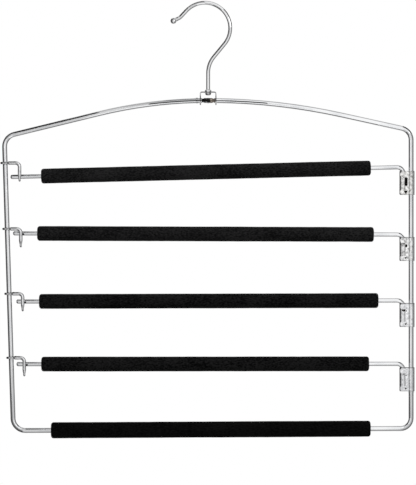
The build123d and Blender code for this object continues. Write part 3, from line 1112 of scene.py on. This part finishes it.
@dataclass(frozen=True)
class Lamp:
    """Square soft lamp, placed from the object's middle, with its side and its power in watts."""

    name: str
    offset: Triple
    size: float
    power: float
    mirrored: bool = True

    def build(self, middle: Vector) -> None:
        """Add the lamp, facing the object.

        Args:
            middle: Centre of the object.
        """
        data = bpy.data.lights.new(self.name, "AREA")
        data.size = self.size
        data.energy = self.power
        lamp = bpy.data.objects.new(self.name, data)
        offset = Vector(self.offset)
        lamp.location = middle + offset
        lamp.rotation_euler = (-offset).to_track_quat("-Z", "Y").to_euler()
        lamp.visible_camera = False
        lamp.visible_glossy = self.mirrored
        bpy.context.scene.collection.objects.link(lamp)


@dataclass
class Studio:
    """Camera, floor, world, cards and lamps.

    The floor fades out between the two shares of its radius that rim gives.
    """

    image_height: int = 485
    pixel: float = 0.925 * MM
    view_centre: tuple[float, float] = (2.87 * MM, -198.4 * MM)
    camera_distance: float = 2.4
    sensor: float = 36.0
    floor_radius: float = 0.55
    floor_sides: int = 96
    floor_gap: float = 0.33
    floor_white: float = 0.86
    floor_lift: float = 0.13
    rim: tuple[float, float] = (0.45, 0.98)
    world_light: float = 0.56

    def build(self) -> None:
        """Set up the whole studio."""
        low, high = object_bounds()
        middle = (Vector(low) + Vector(high)) / 2
        self._camera()
        self._world()
        self._floor(middle.x, low[2] - self.floor_gap)
        for card in CURVED_CARDS:
            card.build(middle)
        for card in FLAT_CARDS:
            card.build()
        for lamp in LAMPS:
            lamp.build(middle)
        bpy.context.scene.view_settings.view_transform = "Standard"
        LOG.info("studio set up")

    def _camera(self) -> None:
        """Long lens, square on to the hanger, framed as the photograph is."""
        data = bpy.data.cameras.new("camera")
        data.sensor_width = self.sensor
        tall = self.image_height * self.pixel
        data.lens = self.sensor * self.camera_distance / tall
        camera = bpy.data.objects.new("camera", data)
        camera.location = (self.view_centre[0], -self.camera_distance, self.view_centre[1])
        camera.rotation_euler = (math.pi / 2, 0.0, 0.0)
        bpy.context.scene.collection.objects.link(camera)
        bpy.context.scene.camera = camera

    @staticmethod
    def _seen(sketch: NodeSketch) -> bpy.types.NodeSocket:
        """Mask the rays that see the background itself, a mirror's and a glass's included.

        Args:
            sketch: Nodes that the mask is added to.

        Returns:
            The mask's socket.
        """
        rays = sketch.add("ShaderNodeLightPath").outputs
        direct = sketch.math("MAXIMUM", rays["Is Camera Ray"], rays["Is Glossy Ray"])
        return sketch.math("MAXIMUM", direct, rays["Is Transmission Ray"])

    def _world(self) -> None:
        """White background with a plain level of light."""
        world = bpy.data.worlds.new("studio")
        world.use_nodes = True
        bpy.context.scene.world = world
        sketch = NodeSketch(world.node_tree)
        sketch.feed(world.node_tree.nodes["Background"], Color=WHITE,
                    Strength=sketch.span(self._seen(sketch), self.world_light, 1.0))

    def _floor(self, x: float, z: float) -> None:
        """Round pale floor under the hanger, clear from below.

        Args:
            x: Place of its centre.
            z: Height of the floor.
        """
        material, nodes, surface = bare_material("pale_floor")
        paint = nodes.chain("ShaderNodeBsdfDiffuse", (self.floor_white,) * 3 + (1.0,))
        lift = nodes.math("MULTIPLY", self._seen(nodes), self.floor_lift)
        pale = nodes.chain("ShaderNodeAddShader", paint,
                           nodes.chain("ShaderNodeEmission", WHITE, lift))
        clear = nodes.chain("ShaderNodeBsdfTransparent")
        below = nodes.add("ShaderNodeNewGeometry").outputs["Backfacing"]
        hidden = nodes.math("MAXIMUM", below, self._faded(nodes, x, z))
        nodes.join(nodes.chain("ShaderNodeMixShader", hidden, pale, clear), surface)
        sketch = bmesh.new()
        bmesh.ops.create_circle(sketch, cap_ends=True, segments=self.floor_sides,
                                radius=self.floor_radius,
                                matrix=Matrix.Translation((x, 0.0, z)))
        floor = add_mesh("floor", sketch, material)
        floor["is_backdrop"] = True

    def _faded(self, sketch: NodeSketch, x: float, z: float) -> bpy.types.NodeSocket:
        """Mask that grows from the floor's inner part to its rim.

        Args:
            sketch: The floor material's nodes.
            x: Place of the floor's centre.
            z: Height of the floor.

        Returns:
            The mask's socket.
        """
        place = sketch.add("ShaderNodeTexCoord").outputs["Object"]
        distance = sketch.chain("ShaderNodeVectorMath", place, (x, 0.0, z),
                                operation="DISTANCE")
        inner, outer = (share * self.floor_radius for share in self.rim)
        return sketch.span(distance, 0.0, 1.0, inner, outer)


TIERS = 4
BUTT = Vector((3.0, 0.0, -67.1)) * MM  # Middle of the frame wire's butted ends.

# One foam in lit and shaded copies: painted light on the upper sleeves, painted shade on the lower
# sleeves and deeper painted shade on the bar.
LIT_FOAM_SKIN = FoamFinish("lit_foam_skin", dark=(0.0028, 0.0028, 0.003),
                        pale=(0.0172, 0.0169, 0.0172))
SHADED_FOAM_SKIN = FoamFinish("shaded_foam_skin", dark=(0.0005, 0.0005, 0.0006),
                        pale=(0.0115, 0.0113, 0.0115))
DEEP_SHADE_FOAM_SKIN = FoamFinish("deep_shade_foam_skin", dark=(0.0002, 0.0002, 0.0002),
                      pale=(0.0043, 0.0042, 0.0042))
CUT_FOAM = FoamFinish("cut_foam", dark=(0.004, 0.004, 0.004), pale=(0.02, 0.0195, 0.019),
                      cell_scale=1900.0, streak=1.0, depth=0.3 * MM)

# These give the plating its grey and dark lines, lighter on the right.
CURVED_CARDS = (
    StudioCard("card_left_front", Side.LEFT, Tone.SLATE, 44.0, 80.0),
    StudioCard("card_left_back", Side.LEFT, Tone.CHARCOAL, 80.0, 150.0),
    StudioCard("card_right_front", Side.RIGHT, Tone.GREY, 34.0, 75.0),
    StudioCard("card_right_back", Side.RIGHT, Tone.SLATE, 75.0, 150.0),
    StudioCard("card_corner", Side.RIGHT_CORNER, Tone.CHARCOAL, 58.0, 150.0, radius=0.75),
    StudioCard("card_shoulder_right", Side.TOP_RIGHT, Tone.GREY, 75.0, 150.0, radius=1.5),
    StudioCard("card_shoulder_left", Side.SHOULDER_LEFT, Tone.SOOT, 43.0, 105.0, radius=0.48),
    StudioCard("card_slant_left", Side.SLANT_LEFT, Tone.GREY, 12.0, 44.0),
    StudioCard("card_slant_right", Side.SLANT_RIGHT, Tone.PEARL, 10.0, 34.0),
    StudioCard("card_slant_below", Side.SLANT_BELOW, Tone.SLATE, 26.0, 44.0),
    StudioCard("card_top_middle", Side.TOP_MIDDLE, Tone.GREY, 18.0, 150.0),
    StudioCard("card_top_left_front", Side.TOP_LEFT, Tone.PEARL, 18.0, 75.0),
    StudioCard("card_top_left_back", Side.TOP_LEFT, Tone.GREY, 75.0, 150.0),
    StudioCard("card_top_right_back", Side.TOP_RIGHT, Tone.GREY, 75.0, 150.0),
    StudioCard("card_bottom_left_front", Side.BOTTOM_LEFT, Tone.PEARL, 18.0, 75.0),
    StudioCard("card_bottom_left_back", Side.BOTTOM_LEFT, Tone.STONE, 75.0, 150.0),
    StudioCard("card_bottom_right_back", Side.BOTTOM_RIGHT, Tone.ASH, 60.0, 150.0),
    StudioCard("card_far_back", Side.ROUND, Tone.GREY, 150.0, 163.0),
    StudioCard("card_crook_left", Side.CROOK_LEFT, Tone.CHARCOAL, 58.0, 98.0, radius=0.08,
               centre=ORIGIN))
FLAT_CARDS = (
    FlatCard("card_camera", Tone.PEARL, left=-0.5, right=0.08, bottom=-0.6, top=-0.062,
             depth=-1.5),
    FlatCard("card_crook", Tone.GREY, left=-0.12, right=0.12, bottom=0.03, top=0.4, depth=-1.5),
    FlatCard("card_throat", Tone.GREY, left=0.08, right=0.16, bottom=-0.06, top=0.03,
             depth=-1.5),
    FlatCard("card_saddle", Tone.SOOT, left=-0.052, right=0.058, bottom=-0.0745, top=-0.0618,
             depth=-0.015))
LAMPS = (
    Lamp("key_lamp", (-0.9, -1.9, 1.5), size=1.1, power=17.0),
    Lamp("fill_lamp", (1.8, -1.5, 0.6), size=1.0, power=7.0),
    Lamp("back_lamp", (0.2, 1.4, 1.9), size=1.2, power=8.0),
    Lamp("top_lamp", (0.3, -0.5, 2.0), size=1.2, power=11.0, mirrored=False))


def main() -> None:
    """Load the frame, build and dress every sub-assembly, and set up the studio."""
    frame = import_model()
    groups = EffectGroups()
    skins = (LIT_FOAM_SKIN, LIT_FOAM_SKIN, SHADED_FOAM_SKIN, SHADED_FOAM_SKIN)
    sleeves = [FoamSleeve(f"arm_sleeve_{tier}", f"arm_{tier}", skin, CUT_FOAM, seed=tier * 3.7)
               for tier, skin in enumerate(skins, start=1)]
    sleeves.append(FoamSleeve("bottom_bar_sleeve", "frame", DEEP_SHADE_FOAM_SKIN, CUT_FOAM, seed=21.3))
    for sleeve in sleeves:
        LOG.info("%s built", sleeve.build(frame, groups).name)
    welds = Welds(TIERS, BUTT)
    welds.build(groups)
    Plating(BUTT).dress(frame, groups, welds.contacts())
    Studio().build()


if __name__ == "__main__":
    logging.basicConfig(level=logging.INFO, format="%(message)s")
    main()
